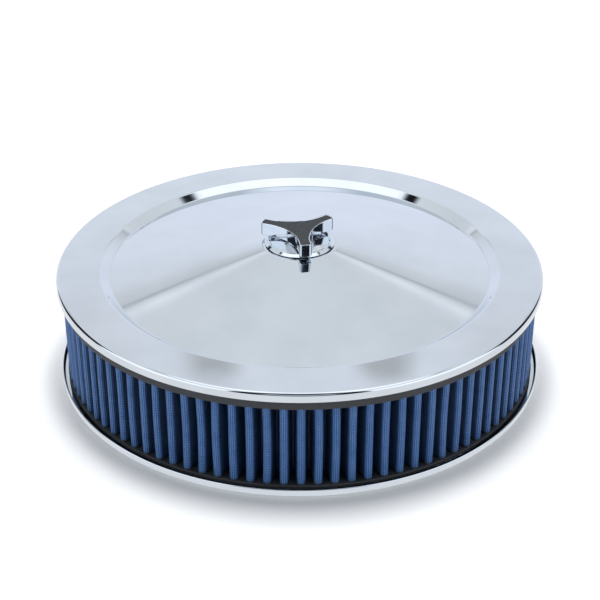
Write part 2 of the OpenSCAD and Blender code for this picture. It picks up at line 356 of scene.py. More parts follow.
@dataclass(frozen=True)
class ChromePlate(Finish):
    """Polished chrome plate: a cool mirror with faint haze and the slight waviness of the metal under it."""

    name: str
    colour: str = "#d5dbe3"
    colour_hazy: str = "#ccd3db"
    roughness: float = 0.03
    haze: float = 0.05
    cloud_mm: float = 35.0
    cloud_detail: float = 4.0
    tint_span: tuple[float, float] = (0.3, 0.75)
    haze_span: tuple[float, float] = (0.4, 0.75)
    wave_mm: float = 60.0
    wave_detail: float = 1.0
    wave_depth_mm: float = 0.12

    def shade(self, tree: bpy.types.NodeTree) -> bpy.types.NodeSocket:
        """Adds the finish's nodes and gives its shader.

        Args:
            tree: The material's node tree.

        Returns:
            The shader's output.
        """
        at = add(tree, "ShaderNodeTexCoord", out="Object")
        # Polishing leaves cloudy patches a few centimetres wide.
        cloud = add(tree, "ShaderNodeTexNoise", {
            "Vector": at, "Scale": 1 / (self.cloud_mm * MM), "Detail": self.cloud_detail})
        tint = add(tree, "ShaderNodeValToRGB", {"Fac": cloud}, stops=list(zip(
            self.tint_span, (self.colour, self.colour_hazy))))
        clear, hazy = self.haze_span
        haze = add(tree, "ShaderNodeMapRange", {
            "Value": cloud, "From Min": clear, "From Max": hazy, "To Min": self.roughness,
            "To Max": self.roughness + self.haze})
        # The pressed sheet is a little wavy, which bends long reflections.
        wave = add(tree, "ShaderNodeTexNoise", {
            "Vector": at, "Scale": 1 / (self.wave_mm * MM), "Detail": self.wave_detail})
        bump = add(tree, "ShaderNodeBump", {
            "Height": wave, "Distance": self.wave_depth_mm * MM, "Strength": 1.0})
        return add(tree, "ShaderNodeBsdfPrincipled", {
            "Base Color": tint, "Metallic": 1.0, "Roughness": haze, "Normal": bump})


@dataclass(frozen=True)
class CoatedWireCloth(Finish):
    """Wire cloth, dipped in blue epoxy, over dyed gauze: dark satin wires with blue cloth in the openings."""

    name: str
    wire: str = "#365a8e"
    wire_dark: str = "#25405f"
    wire_light: str = "#4c6fa6"
    wire_span: tuple[float, float, float] = (0.3, 0.55, 0.8)
    cloth: str = "#6da4f2"
    cloth_dark: str = "#4c80c6"
    cloth_light: str = "#82b4f8"
    cloth_span: tuple[float, float, float] = (0.25, 0.5, 0.8)
    soiled: str = "#3d4a45"
    # Dye and dust vary in patches of about a centimetre, and the epoxy's skin within a millimetre.
    patches_per_mm: float = 0.09
    patch_detail: float = 5.0
    patch_roughness: float = 0.65
    grains_per_mm: float = 1.1
    grain_detail: float = 3.0
    # Painted shade: the colour is darkened down the pleats' walls to this share towards the valleys, and left
    # full on the folds' crests; the two radii below bound it.
    painted_wall_shade: float = 0.3
    wall_mm: float = 170.8
    crest_mm: float = 173.2
    # Real cloth has about 0.9 mm between wires; it is drawn half as coarse again so that it shows.
    pitch_mm: float = 1.35
    wire_share: float = 0.35
    wire_depth_mm: float = 0.25
    wire_bump: float = 0.8
    roughness: float = 0.5
    specular: float = 0.4
    # Sealing material creeps a few millimetres into the cloth at both ends of the pleats.
    low_mm: float = 5.9
    high_mm: float = 69.3
    creep_mm: float = 3.0
    creep_span: tuple[float, float] = (0.18, 0.42)

    def shade(self, tree: bpy.types.NodeTree) -> bpy.types.NodeSocket:
        """Adds the finish's nodes and gives its shader.

        Args:
            tree: The material's node tree.

        Returns:
            The shader's output.
        """
        uv = add(tree, "ShaderNodeUVMap", uv_map="surface_mm")
        along = add(tree, "ShaderNodeSeparateXYZ", {"Vector": uv}, out="X")
        up = add(tree, "ShaderNodeSeparateXYZ", {"Vector": uv}, out="Y")
        waves = []
        for way in (along, up):
            turn = add(tree, "ShaderNodeMath", {0: way, 1: 2 * math.pi / self.pitch_mm}, operation="MULTIPLY")
            wave = add(tree, "ShaderNodeMath", {0: turn}, operation="COSINE")
            waves.append(add(tree, "ShaderNodeMapRange", {
                "Value": wave, "From Min": 1 - 4 * self.wire_share, "From Max": 1.0},
                interpolation_type="SMOOTHSTEP"))
        weave = add(tree, "ShaderNodeMath", {0: waves[0], 1: waves[1]}, operation="MAXIMUM")
        patch = add(tree, "ShaderNodeTexNoise", {
            "Vector": uv, "Scale": self.patches_per_mm, "Detail": self.patch_detail,
            "Roughness": self.patch_roughness})
        fine = add(tree, "ShaderNodeTexNoise", {
            "Vector": uv, "Scale": self.grains_per_mm, "Detail": self.grain_detail})
        cloth = add(tree, "ShaderNodeValToRGB", {"Fac": patch}, stops=list(zip(
            self.cloth_span, (self.cloth_dark, self.cloth, self.cloth_light))))
        wire = add(tree, "ShaderNodeValToRGB", {"Fac": fine}, stops=list(zip(
            self.wire_span, (self.wire_dark, self.wire, self.wire_light))))
        mesh = add(tree, "ShaderNodeMixRGB", {"Fac": weave, "Color1": cloth, "Color2": wire})
        ends = []
        for level, creep in ((self.low_mm, self.creep_mm), (self.high_mm, -self.creep_mm)):
            ends.append(add(tree, "ShaderNodeMapRange", {
                "Value": up, "From Min": level + creep, "From Max": level, "To Min": 0.0, "To Max": 1.0}))
        end = add(tree, "ShaderNodeMath", {0: ends[0], 1: ends[1]}, operation="MAXIMUM")
        ragged = add(tree, "ShaderNodeMath", {0: end, 1: fine}, operation="MULTIPLY")
        bare, soaked = self.creep_span
        soil = add(tree, "ShaderNodeMapRange", {"Value": ragged, "From Min": bare, "From Max": soaked})
        colour = add(tree, "ShaderNodeMixRGB", {"Fac": soil, "Color1": mesh, "Color2": linear(self.soiled)})
        # Painted shade: the deeper in a pleat, the darker the colour is drawn, by its distance from the axis.
        at = add(tree, "ShaderNodeTexCoord", out="Object")
        flat = add(tree, "ShaderNodeVectorMath", {0: at, 1: (1.0, 1.0, 0.0)}, operation="MULTIPLY")
        reach = add(tree, "ShaderNodeVectorMath", {0: flat}, out="Value", operation="LENGTH")
        shade = add(tree, "ShaderNodeMapRange", {
            "Value": reach, "From Min": self.wall_mm * MM, "From Max": self.crest_mm * MM,
            "To Min": self.painted_wall_shade, "To Max": 1.0}, interpolation_type="SMOOTHSTEP")
        colour = add(tree, "ShaderNodeVectorMath", {0: colour, 3: shade}, operation="SCALE")
        height = add(tree, "ShaderNodeMath", {0: weave, 1: fine}, operation="ADD")
        bump = add(tree, "ShaderNodeBump", {
            "Height": height, "Distance": self.wire_depth_mm * MM, "Strength": self.wire_bump})
        return add(tree, "ShaderNodeBsdfPrincipled", {
            "Base Color": colour, "Roughness": self.roughness, "Normal": bump,
            "Specular IOR Level": self.specular})


@dataclass(frozen=True)
class Grained(Finish):
    """Two tones in fine grain and coarser patches: rubber, cloth, plastic or plain plated metal."""

    name: str
    dark: str
    light: str
    grain_mm: float
    patch_mm: float
    depth_mm: float
    roughness: float
    roughness_spread: float = 0.1
    metallic: float = 0.0
    grain_detail: float = 3.0
    grain_roughness: float = 0.6
    patch_detail: float = 4.0
    patch_share: float = 0.5
    tone_span: tuple[float, float] = (0.35, 0.65)
    gloss_span: tuple[float, float] = (0.3, 0.7)

    def shade(self, tree: bpy.types.NodeTree) -> bpy.types.NodeSocket:
        """Adds the finish's nodes and gives its shader.

        Args:
            tree: The material's node tree.

        Returns:
            The shader's output.
        """
        at = add(tree, "ShaderNodeTexCoord", out="Object")
        grain = add(tree, "ShaderNodeTexNoise", {
            "Vector": at, "Scale": 1 / (self.grain_mm * MM), "Detail": self.grain_detail,
            "Roughness": self.grain_roughness})
        patch = add(tree, "ShaderNodeTexNoise", {
            "Vector": at, "Scale": 1 / (self.patch_mm * MM), "Detail": self.patch_detail})
        both = add(tree, "ShaderNodeMixRGB", {"Fac": self.patch_share, "Color1": grain, "Color2": patch})
        colour = add(tree, "ShaderNodeValToRGB", {"Fac": both}, stops=list(zip(
            self.tone_span, (self.dark, self.light))))
        glossier, duller = self.gloss_span
        gloss = add(tree, "ShaderNodeMapRange", {
            "Value": patch, "From Min": glossier, "From Max": duller, "To Min": self.roughness,
            "To Max": self.roughness + self.roughness_spread})
        bump = add(tree, "ShaderNodeBump", {"Height": grain, "Distance": self.depth_mm * MM, "Strength": 1.0})
        return add(tree, "ShaderNodeBsdfPrincipled", {
            "Base Color": colour, "Metallic": self.metallic, "Roughness": gloss, "Normal": bump})


@dataclass(frozen=True)
class StudioFloor(Finish):
    """Matt white sweep, which the camera sees as white beyond the shadow and polished metal sees as white."""

    name: str = "floor_matt_white"
    colour: str = "#eceef0"
    seen_at: float = 1.12

    def shade(self, tree: bpy.types.NodeTree) -> bpy.types.NodeSocket:
        """Adds the finish's nodes and gives its shader.

        Args:
            tree: The material's node tree.

        Returns:
            The shader's output.
        """
        camera = add(tree, "ShaderNodeLightPath", out="Is Camera Ray")
        glossy = add(tree, "ShaderNodeLightPath", out="Is Glossy Ray")
        through = add(tree, "ShaderNodeLightPath", out="Is Transmission Ray")
        mirrored = add(tree, "ShaderNodeMath", {0: glossy, 1: through}, operation="MAXIMUM")
        matt = add(tree, "ShaderNodeBsdfDiffuse", {"Color": linear(self.colour)})
        seen = add(tree, "ShaderNodeBsdfDiffuse", {"Color": (self.seen_at, self.seen_at, self.seen_at, 1.0)})
        white = add(tree, "ShaderNodeEmission", {"Color": (1.0, 1.0, 1.0, 1.0), "Strength": 1.0})
        either = add(tree, "ShaderNodeMixShader", {0: camera, 1: matt, 2: seen})
        above = add(tree, "ShaderNodeMixShader", {0: mirrored, 1: either, 2: white})
        # From below the sweep is left clear, so that the object's underside shows.
        below = add(tree, "ShaderNodeNewGeometry", out="Backfacing")
        clear = add(tree, "ShaderNodeBsdfTransparent")
        return add(tree, "ShaderNodeMixShader", {0: below, 1: above, 2: clear})


# Bright plate: a cool mirror on the pressed steel, less even and a little softer on the casting.
LID_CHROME = ChromePlate("chrome_plate_lid")
PAN_CHROME = ChromePlate("chrome_plate_pan", colour="#d0d7e0")
NUT_CHROME = ChromePlate(
    "chrome_plate_casting", cloud_mm=8.0, wave_mm=6.0, wave_depth_mm=0.05, roughness=0.05)
# Epoxy-dipped wire cloth over dyed cotton: a blue weave, with painted shade that darkens it inside the pleats
# and leaves the folds' crests bright.
OUTER_CLOTH = CoatedWireCloth("epoxy_wire_cloth_outer")
# The inner cloth is the outer cloth drawn in darker colours: painted shade for the inside of the pack.
SHADED_INNER_CLOTH = CoatedWireCloth("epoxy_wire_cloth_inner_painted_shade", cloth="#44618f", wire="#2b3f5c")
# Oiled cotton: soft, matt and a little blotchy.
GAUZE = Grained("oiled_cotton_gauze", "#3d63ab", "#5c83c8", 0.5, 12.0, 0.2, 0.85)
# Cast soft polymer: satin, dark grey, with a fine skin.
SEAL = Grained("cast_soft_seal", "#2f3236", "#45484d", 0.6, 14.0, 0.05, 0.55)
# Cut sheet rubber: black and matt with a faint cloth print.
RUBBER = Grained("cut_sheet_rubber", "#1a1b1c", "#2b2c2e", 0.5, 9.0, 0.04, 0.65)
# Bright zinc over turned steel: greyish, half matt, with cloudy patches.
ZINC = Grained("bright_zinc_plate", "#a9abab", "#cfd1d2", 0.4, 5.0, 0.01, 0.28, 0.14, 1.0)
# Rolled strip, folded: plain steel with a fine grain.
STRIP = Grained("folded_steel_strip", "#8f9194", "#b4b6b8", 0.3, 6.0, 0.01, 0.32, 0.12, 1.0)
# Grained dark insert: matt grey, its grit drawn at four times its real 0.3 mm so that it shows.
INLAY = Grained("grained_dark_insert", "#0c0e10", "#3f4349", 1.2, 3.0, 0.3, 0.55, 0.15)


# Sub-assemblies


@dataclass
class Lid:
    """Pressed lid: flat outer ring, step, shallow cone and turned-down rim. Sizes in millimetres."""

    sheet: float = 1.0
    hole_r: float = 3.575
    seat_r: float = 28.0
    seat_z: float = 95.6
    seat_bend: float = 9.0
    step_in_r: float = 139.6
    step_out_r: float = 146.3
    step_drop: float = 4.6
    step_bend: float = 2.0
    rim_r: float = 177.8
    top_z: float = 80.1
    rim_h: float = 6.8
    rim_bend: float = 1.4
    bend_steps: int = 14

    def build(self) -> None:
        """Makes the lid and dresses it."""
        path = [
            Corner(self.hole_r, self.seat_z),
            Corner(self.seat_r, self.seat_z, self.seat_bend),
            Corner(self.step_in_r, self.top_z - self.step_drop, self.step_bend),
            Corner(self.step_out_r, self.top_z, self.step_bend),
            Corner(self.rim_r, self.top_z, self.rim_bend),
            Corner(self.rim_r, self.top_z - self.rim_h),
        ]
        section = sheet_section(path, self.sheet, self.bend_steps)
        lid = turned_piece("lid_pressing", section, PAN_SEGMENTS)
        place(lid, Body.HOUSING, "lid_chrome", LID_CHROME.build(), "lid")


@dataclass
class BasePan:
    """Pressed drop base: lip, ring, seat with bead, inner wall, platform and neck. Sizes in millimetres."""

    sheet: float = 1.0
    lip_r: float = 179.0
    lip_h: float = 5.5
    foot_w: float = 6.6
    seat_z: float = 1.9
    bead_foot_r: float = 154.5
    bead_run: float = 2.5
    bead_w: float = 2.6
    bead_h: float = 3.0
    bead_bend: float = 0.6
    wall_foot_r: float = 142.9
    platform_r: float = 117.99
    platform_z: float = 25.0
    neck_r: float = 66.09
    neck_end_z: float = 15.0
    bend: float = 1.2
    wall_bend: float = 5.0
    neck_bend: float = 1.5
    bend_steps: int = 8
    hole_r: float = 10.1
    hole_reach: float = 93.49
    hole_turn: float = 135.0
    # How many sheets deep the tool that cuts the hole is.
    cutter_sheets: int = 6

    def build(self) -> None:
        """Makes the pan, cuts the breather's hole and dresses it."""
        bead_a = self.bead_foot_r - self.bead_run
        bead_b = bead_a - self.bead_w
        path = [
            Corner(self.lip_r, self.lip_h),
            Corner(self.lip_r, 0.0, self.bend),
            Corner(self.lip_r - self.foot_w, 0.0, self.bend),
            Corner(self.lip_r - self.foot_w - self.seat_z, self.seat_z, self.bend),
            Corner(self.bead_foot_r, self.seat_z, self.bead_bend),
            Corner(bead_a, self.seat_z + self.bead_h, self.bead_bend),
            Corner(bead_b, self.seat_z + self.bead_h, self.bead_bend),
            Corner(bead_b - self.bead_run, self.seat_z, self.bead_bend),
            Corner(self.wall_foot_r, self.seat_z, self.bend),
            Corner(self.platform_r, self.platform_z, self.wall_bend),
            Corner(self.neck_r, self.platform_z, self.neck_bend),
            Corner(self.neck_r, self.neck_end_z),
        ]
        section = sheet_section(path, self.sheet, self.bend_steps)
        pan = turned_piece("base_pan_pressing", section, BASE_SEGMENTS)
        self.cut_hole(pan)
        place(pan, Body.HOUSING, "pan_chrome", PAN_CHROME.build(), "base_pan")

    def cut_hole(self, pan: bpy.types.Object) -> None:
        """Cuts the breather's hole through the platform.

        Args:
            pan: The turned pan.
        """
        angle = math.radians(self.hole_turn)
        bpy.ops.mesh.primitive_cylinder_add(
            vertices=SMALL_SEGMENTS, radius=self.hole_r * MM, depth=self.cutter_sheets * self.sheet * MM,
            location=(self.hole_reach * math.cos(angle) * MM, self.hole_reach * math.sin(angle) * MM,
                      (self.platform_z + self.sheet / 2) * MM))
        cutter = bpy.context.object
        cut = pan.modifiers.new("breather_hole", "BOOLEAN")
        cut.operation = "DIFFERENCE"
        cut.solver = "EXACT"
        cut.object = cutter
        graph = bpy.context.evaluated_depsgraph_get()
        pan.data = bpy.data.meshes.new_from_object(pan.evaluated_get(graph))
        pan.modifiers.clear()
        bpy.data.objects.remove(cutter)


@dataclass
class Element:
    """Pleated pack of wire cloth and gauze between its end seals. Sizes in millimetres."""

    pleats: int = 96
    first_deg: float = -89.7
    out_c: float = 171.2
    in_c: float = 159.7
    fold_r: float = 2.8
    valley_r: float = 0.8
    cloth: float = 0.4
    gauze: float = 1.6
    layer_gap: float = 0.02
    low_z: float = 5.9
    high_z: float = 69.3
    fold_steps: int = 12
    valley_steps: int = 5
    # Rows of vertices up each face, for the layer that shows and for the hidden ones.
    shown_rows: int = 13
    hidden_rows: int = 7
    # How far a fold wanders sideways half-way up, because the pack is soft.
    wander_deg: float = 0.11
    seed: int = 11
    seal_r: float = 174.6
    seal_in_r: float = 155.5
    seal_top_z: float = 79.1
    seal_edge: float = 0.8
    seal_steps: int = 5
    # The seal's outer edge runs down over the ends of the folds.
    skirt_h: float = 3.6
    skirt_in_r: float = 171.8
    wander: np.ndarray = field(init=False)

    def __post_init__(self) -> None:
        """Draws how far each fold wanders."""
        self.wander = np.random.default_rng(self.seed).normal(0, self.wander_deg, self.pleats)

    def line(self, depth: float) -> tuple[np.ndarray, np.ndarray, np.ndarray]:
        """Gives the pleated line at a depth below the pack's outer face.

        Args:
            depth: Depth in millimetres.

        Returns:
            Points, outward normals, and each point's wander in degrees.
        """
        pitch = 360 / self.pleats
        half = math.radians(pitch / 2)
        run = (self.in_c * math.cos(half) - self.out_c, self.in_c * math.sin(half))
        wall = math.degrees(math.atan2(run[1], run[0]))
        wall -= math.degrees(math.acos((self.fold_r + self.valley_r) / math.hypot(*run)))
        points, normals, wander = [], [], []
        for k in range(self.pleats):
            out_a = self.first_deg + k * pitch
            in_a = out_a + pitch / 2
            centre = np.array([math.cos(math.radians(out_a)), math.sin(math.radians(out_a))]) * self.out_c
            for a in np.linspace(out_a - wall, out_a + wall, self.fold_steps + 1):
                n = np.array([math.cos(math.radians(a)), math.sin(math.radians(a))])
                points.append(centre + (self.fold_r - depth) * n)
                normals.append(n)
                wander.append(self.wander[k])
            centre = np.array([math.cos(math.radians(in_a)), math.sin(math.radians(in_a))]) * self.in_c
            lean = wall - pitch / 2
            for a in np.linspace(in_a + 180 + lean, in_a + 180 - lean, self.valley_steps + 1):
                n = np.array([math.cos(math.radians(a)), math.sin(math.radians(a))])
                points.append(centre + (self.valley_r + depth) * n)
                normals.append(-n)
                wander.append(0.0)
        return np.array(points), np.array(normals), np.array(wander)

    def layer(self, name: str, outer: float, inner: float, rows: int) -> bpy.types.Object:
        """Makes one layer of the pack.

        Args:
            name: Name of the object.
            outer: Depth of its outer face.
            inner: Depth of its inner face.
            rows: Rows of vertices up each face.

        Returns:
            The layer.
        """
        levels = np.linspace(self.low_z, self.high_z, rows)
        vertices, normals, uvs = [], [], []
        for depth, sign, heights in ((outer, 1.0, levels), (inner, -1.0, levels[::-1])):
            points, facing, wander = self.line(depth)
            length = np.concatenate([[0.0], np.cumsum(np.linalg.norm(np.diff(points, axis=0), axis=1))])
            for z in heights:
                bow = math.sin(math.pi * (z - self.low_z) / (self.high_z - self.low_z))
                angle = np.radians(wander * bow)
                cos, sin = np.cos(angle), np.sin(angle)
                x = points[:, 0] * cos - points[:, 1] * sin
                y = points[:, 0] * sin + points[:, 1] * cos
                vertices.append(np.stack([x, y, np.full_like(x, z)], axis=1))
                normals.append(sign * np.stack([facing[:, 0], facing[:, 1], np.zeros_like(x)], axis=1))
                uvs.append(np.stack([length, np.full_like(x, z)], axis=1))
        columns = len(vertices[0])
        faces = [f[::-1] for f in grid_faces(2 * rows, columns, True)]
        return piece_from(name, np.concatenate(vertices), faces, np.concatenate(normals), np.concatenate(uvs))

    def build(self) -> None:
        """Makes the pack's layers and dresses them and the seals."""
        depth = self.cloth + self.gauze
        layers = (
            ("pleated_outer_cloth", 0.0, self.cloth, self.shown_rows,
             "blue_wire_cloth", OUTER_CLOTH, "outer_wire_cloth"),
            ("pleated_gauze", self.cloth + self.layer_gap, depth - self.layer_gap, self.hidden_rows,
             "blue_gauze", GAUZE, "cotton_gauze"),
            ("pleated_inner_cloth", depth, depth + self.cloth, self.hidden_rows,
             "inner_wire", SHADED_INNER_CLOTH, "inner_wire_cloth"),
        )
        for name, outer, inner, rows, slot, finish, node in layers:
            place(self.layer(name, outer, inner, rows), Body.HOUSING, slot, finish.build(), node)
        skirt_z = self.high_z - self.skirt_h
        section = rounded([
            Corner(self.seal_in_r, self.high_z, self.seal_edge),
            Corner(self.skirt_in_r, self.high_z),
            Corner(self.skirt_in_r, skirt_z, self.seal_edge),
            Corner(self.seal_r, skirt_z, self.seal_edge),
            Corner(self.seal_r, self.seal_top_z, self.seal_edge),
            Corner(self.seal_in_r, self.seal_top_z, self.seal_edge),
        ], self.seal_steps)
        seal = SEAL.build()
        top_seal = turned_piece("top_seal_skirted", section, PAN_SEGMENTS)
        place(top_seal, Body.HOUSING, "seal_rubber", seal, "top_seal")
        dress("bottom_seal", seal)
        dress("pack_clip", STRIP.build())


@dataclass
class Stud:
    """Long stud with a rolled thread at each end of a plain shank. Sizes in millimetres."""

    low_z: float = 29.6
    length: float = 76.2
    major_r: float = 3.175
    thread_depth: float = 0.78
    shank_r: float = 2.75
    pitch: float = 1.27
    lower_thread: float = 20.0
    upper_thread: float = 26.0
    chamfer: float = 0.6
    # Shares of half a turn of thread: the flat of its crest, and the flank below that.
    crest_share: float = 0.06
    flank_share: float = 0.82
    segments: int = 40
    rows_per_turn: int = 10
    # Rows are close together this far past each thread, and this far apart on the shank.
    lower_margin: float = 1.0
    upper_margin: float = 2.0
    shank_row: float = 1.0

    def radius(self, height: float, turn: float) -> float:
        """Gives the stud's radius at a height and a place round the axis.

        Args:
            height: Height above the stud's lower end.
            turn: Place round the axis, in turns.

        Returns:
            Radius in millimetres.
        """
        above_shank = height - (self.length - self.upper_thread)
        below_shank = self.lower_thread - height
        runout = max(above_shank, below_shank)
        if runout < 0:
            return self.shank_r
        phase = (height / self.pitch - turn) % 1.0
        flank = min(1.0, max(0.0, (abs(2 * phase - 1) - self.crest_share) / self.flank_share))
        cut = self.thread_depth * flank * min(1.0, runout / self.pitch)
        base = self.shank_r + (self.major_r - self.shank_r) * min(1.0, runout / (self.pitch / 2))
        end = min(height, self.length - height)
        return min(base - cut, self.major_r - self.chamfer + max(end, 0.0))

    def build(self) -> None:
        """Makes the stud and dresses it."""
        low_end = self.lower_thread + self.lower_margin
        high_end = self.length - self.upper_thread - self.upper_margin
        heights = [0.0]
        while heights[-1] < self.length - TINY:
            threaded = heights[-1] < low_end or heights[-1] > high_end
            step = self.pitch / self.rows_per_turn if threaded else self.shank_row
            heights.append(min(self.length, heights[-1] + step))
        turns = np.arange(self.segments) / self.segments
        rows = []
        for height in heights:
            r = np.array([self.radius(height, t) for t in turns])
            x, y = r * np.cos(2 * math.pi * turns), r * np.sin(2 * math.pi * turns)
            rows.append(np.stack([x, y, np.full(self.segments, self.low_z + height)], axis=1))
        faces = [f[::-1] for f in grid_faces(len(rows), self.segments, False)]
        last = (len(rows) - 1) * self.segments
        faces.append(list(range(self.segments))[::-1])
        faces.append([last + i for i in range(self.segments)])
        stud = piece_from("threaded_stud", np.concatenate(rows), faces)
        place(stud, Body.HOUSING, "plated_steel", ZINC.build(), "stud")


@dataclass
class WingNut:
    """Cast three-armed nut with a dished flange and a grained insert. Sizes in millimetres."""

    turn_deg: float = -81.0
    low_z: float = 95.9
    flange_r: float = 25.8
    flange_h: float = 2.1
    bevel: float = 2.4
    edge: float = 0.5
    crest: float = 0.8
    dish_run: float = 1.5
    dish_t: float = 1.0
    hub_r: float = 10.0
    hub_side: float = 0.5
    bore_r: float = 3.225
    pocket_r: float = 12.3
    pocket_h: float = 1.3
    arm_r: float = 29.0
    arm_w: float = 9.5
    waist_r: float = 10.4
    arm_lift: float = 2.9
    arm_h: float = 9.4
    corner_r: float = 2.2
    edge_r: float = 0.5
    lip: float = 0.9
    recess: float = 0.8
    insert_gap: float = 0.1
    insert_t: float = 0.35
    insert_edge: float = 0.35 / 3
    arms: int = 3
    pocket_bend: float = 0.3
    foot_bend: float = 0.2
    rim_bend: float = 0.25
    crest_bend: float = 0.35
    dish_bend: float = 1.2
    hub_bend: float = 0.6
    # How far the turned hub runs up into the arms.
    hub_sink: float = 1.0
    corner_steps: int = 8
    hollow_steps: int = 16
    edge_steps: int = 5
    bend_steps: int = 6

    def outline(self) -> tuple[np.ndarray, np.ndarray]:
        """Gives the nut's three-armed outline with rounded arm corners.

        Returns:
            Points and outward normals, counter-clockwise.
        """
        half = self.arm_w / 2
        middle_turn = math.pi / self.arms
        u = self.arm_r * math.cos(middle_turn) + half * math.sin(middle_turn)
        v = self.arm_r * math.sin(middle_turn) - half * math.cos(middle_turn)
        hollow = ((u - self.waist_r) ** 2 + v**2) / (2 * (u - self.waist_r))
        reach = self.waist_r + hollow
        centre = reach * np.array([math.cos(middle_turn), math.sin(middle_turn)])
        # Centre of the corner's rounding: inside the arm's end and outside the hollow's circle.
        x = self.arm_r - self.corner_r
        y = centre[1] - math.sqrt((hollow + self.corner_r) ** 2 - (centre[0] - x) ** 2)
        corner = np.array([x, y])
        stop = math.atan2(*(centre - corner)[::-1])
        points, normals = [], []
        for a in np.linspace(0, stop, self.corner_steps + 1):
            n = np.array([math.cos(a), math.sin(a)])
            points.append(corner + self.corner_r * n)
            normals.append(n)
        start = math.atan2(*(corner - centre)[::-1])
        middle = math.atan2(-centre[1], -centre[0])
        for a in np.linspace(start, middle, self.hollow_steps + 1)[1:-1]:
            n = np.array([math.cos(a), math.sin(a)])
            points.append(centre + hollow * n)
            normals.append(-n)
        third_points, third_normals = np.array(points), np.array(normals)
        # The hollow's second half and the next arm's first corner are the mirror image of these.
        c2, s2 = math.cos(2 * middle_turn), math.sin(2 * middle_turn)
        mirror = np.array([[c2, s2], [s2, -c2]])
        both_points = np.concatenate([third_points, (third_points @ mirror.T)[::-1]])
        both_normals = np.concatenate([third_normals, (third_normals @ mirror.T)[::-1]])
        all_points, all_normals = [], []
        for k in range(self.arms):
            a = math.radians(self.turn_deg) + 2 * middle_turn * k
            spin = np.array([[math.cos(a), -math.sin(a)], [math.sin(a), math.cos(a)]])
            all_points.append(both_points @ spin.T)
            all_normals.append(both_normals @ spin.T)
        return np.concatenate(all_points), np.concatenate(all_normals)

    def loft(
        self, section: Sequence[tuple[float, float, float, float]]
    ) -> tuple[np.ndarray, list[list[int]], np.ndarray]:
        """Runs a section round the nut's outline and closes it at both ends.

        Args:
            section: Inset, height, and the normal's outward and upward parts, from the bottom to the top.

        Returns:
            Vertices, faces and normals.
        """
        points, normals = self.outline()
        count = len(points)
        vertices, facing = [], []
        for inset, z, out_part, up_part in section:
            flat = points - inset * normals
            vertices.append(np.column_stack([flat, np.full(count, z)]))
            facing.append(np.column_stack([out_part * normals, np.full(count, up_part)]))
        faces = [f[::-1] for f in grid_faces(len(section), count, False)]
        last = (len(section) - 1) * count
        faces.append(list(range(count))[::-1])
        faces.append([last + i for i in range(count)])
        return np.concatenate(vertices), faces, np.concatenate(facing)

    def casting(self) -> bpy.types.Object:
        """Makes the casting: arms over a dished flange.

        Returns:
            The casting.
        """
        z0 = self.low_z + self.arm_lift
        z1 = z0 + self.arm_h
        r = self.edge_r
        quarter = [(math.cos(a), math.sin(a)) for a in np.linspace(0, math.pi / 2, self.edge_steps + 1)]
        section = [(r - r * c, z0 + r - r * s, c, -s) for c, s in quarter[::-1]]
        section += [(r - r * c, z1 - r + r * s, c, s) for c, s in quarter]
        section += [(self.lip - r + r * s, z1 - r + r * c, -s, c) for c, s in quarter]
        floor_z = z1 - self.recess
        section += [(self.lip, floor_z, -1.0, 0.0), (self.lip, floor_z, 0.0, 1.0)]
        arms, arm_faces, arm_normals = self.loft(section)
        crest_r = self.flange_r - self.bevel
        dish_r = crest_r - self.crest - self.dish_run
        hub_top = self.arm_lift + self.hub_sink
        corners = [
            Corner(self.bore_r, self.pocket_h),
            Corner(self.pocket_r, self.pocket_h, self.pocket_bend),
            Corner(self.pocket_r, 0.0, self.pocket_bend),
            Corner(self.flange_r - self.edge, 0.0, self.foot_bend),
            Corner(self.flange_r, self.edge, self.rim_bend),
            Corner(crest_r, self.flange_h, self.crest_bend),
            Corner(crest_r - self.crest, self.flange_h, self.crest_bend),
            Corner(dish_r, self.dish_t, self.dish_bend),
            Corner(self.hub_r, self.arm_lift - self.hub_side, self.hub_bend),
            Corner(self.hub_r, hub_top),
            Corner(self.bore_r, hub_top),
        ]
        section_rows = rounded([Corner(c.r, c.z + self.low_z, c.bend) for c in corners], self.bend_steps)
        flange, flange_faces, flange_normals = turned_mesh(section_rows, SMALL_SEGMENTS)
        faces = arm_faces + [[i + len(arms) for i in f] for f in flange_faces]
        return piece_from("wing_nut_casting", np.concatenate([arms, flange]), faces,
                          np.concatenate([arm_normals, flange_normals]))

    def insert(self) -> bpy.types.Object:
        """Makes the grained insert in the recess.

        Returns:
            The insert.
        """
        inset = self.lip + self.insert_gap
        z0 = self.low_z + self.arm_lift + self.arm_h - self.recess
        z1 = z0 + self.insert_t
        section = [(inset, z0, 0.0, -1.0), (inset, z0, 1.0, 0.0), (inset, z1 - self.insert_edge, 1.0, 0.0),
                   (inset + self.insert_edge, z1, 0.0, 1.0)]
        vertices, faces, normals = self.loft(section)
        return piece_from("nut_face_insert", vertices, faces, normals)

    def build(self) -> None:
        """Makes the nut and its insert and dresses them and the washer."""
        place(self.casting(), Body.NUT, "nut_chrome", NUT_CHROME.build(), "wing_nut")
        place(self.insert(), Body.NUT, "face_inlay", INLAY.build(), "nut_face_inlay")
        dress("nut_washer", RUBBER.build())


class SmallParts:
    """Breather connection and neck gasket, which keep their CAD shapes."""

    def build(self) -> None:
        """Dresses the parts."""
        zinc, rubber = ZINC.build(), RUBBER.build()
        dress("breather_fitting", zinc)
        dress("breather_nut", zinc)
        dress("breather_gasket", rubber)
        dress("neck_gasket", rubber)


# Studio


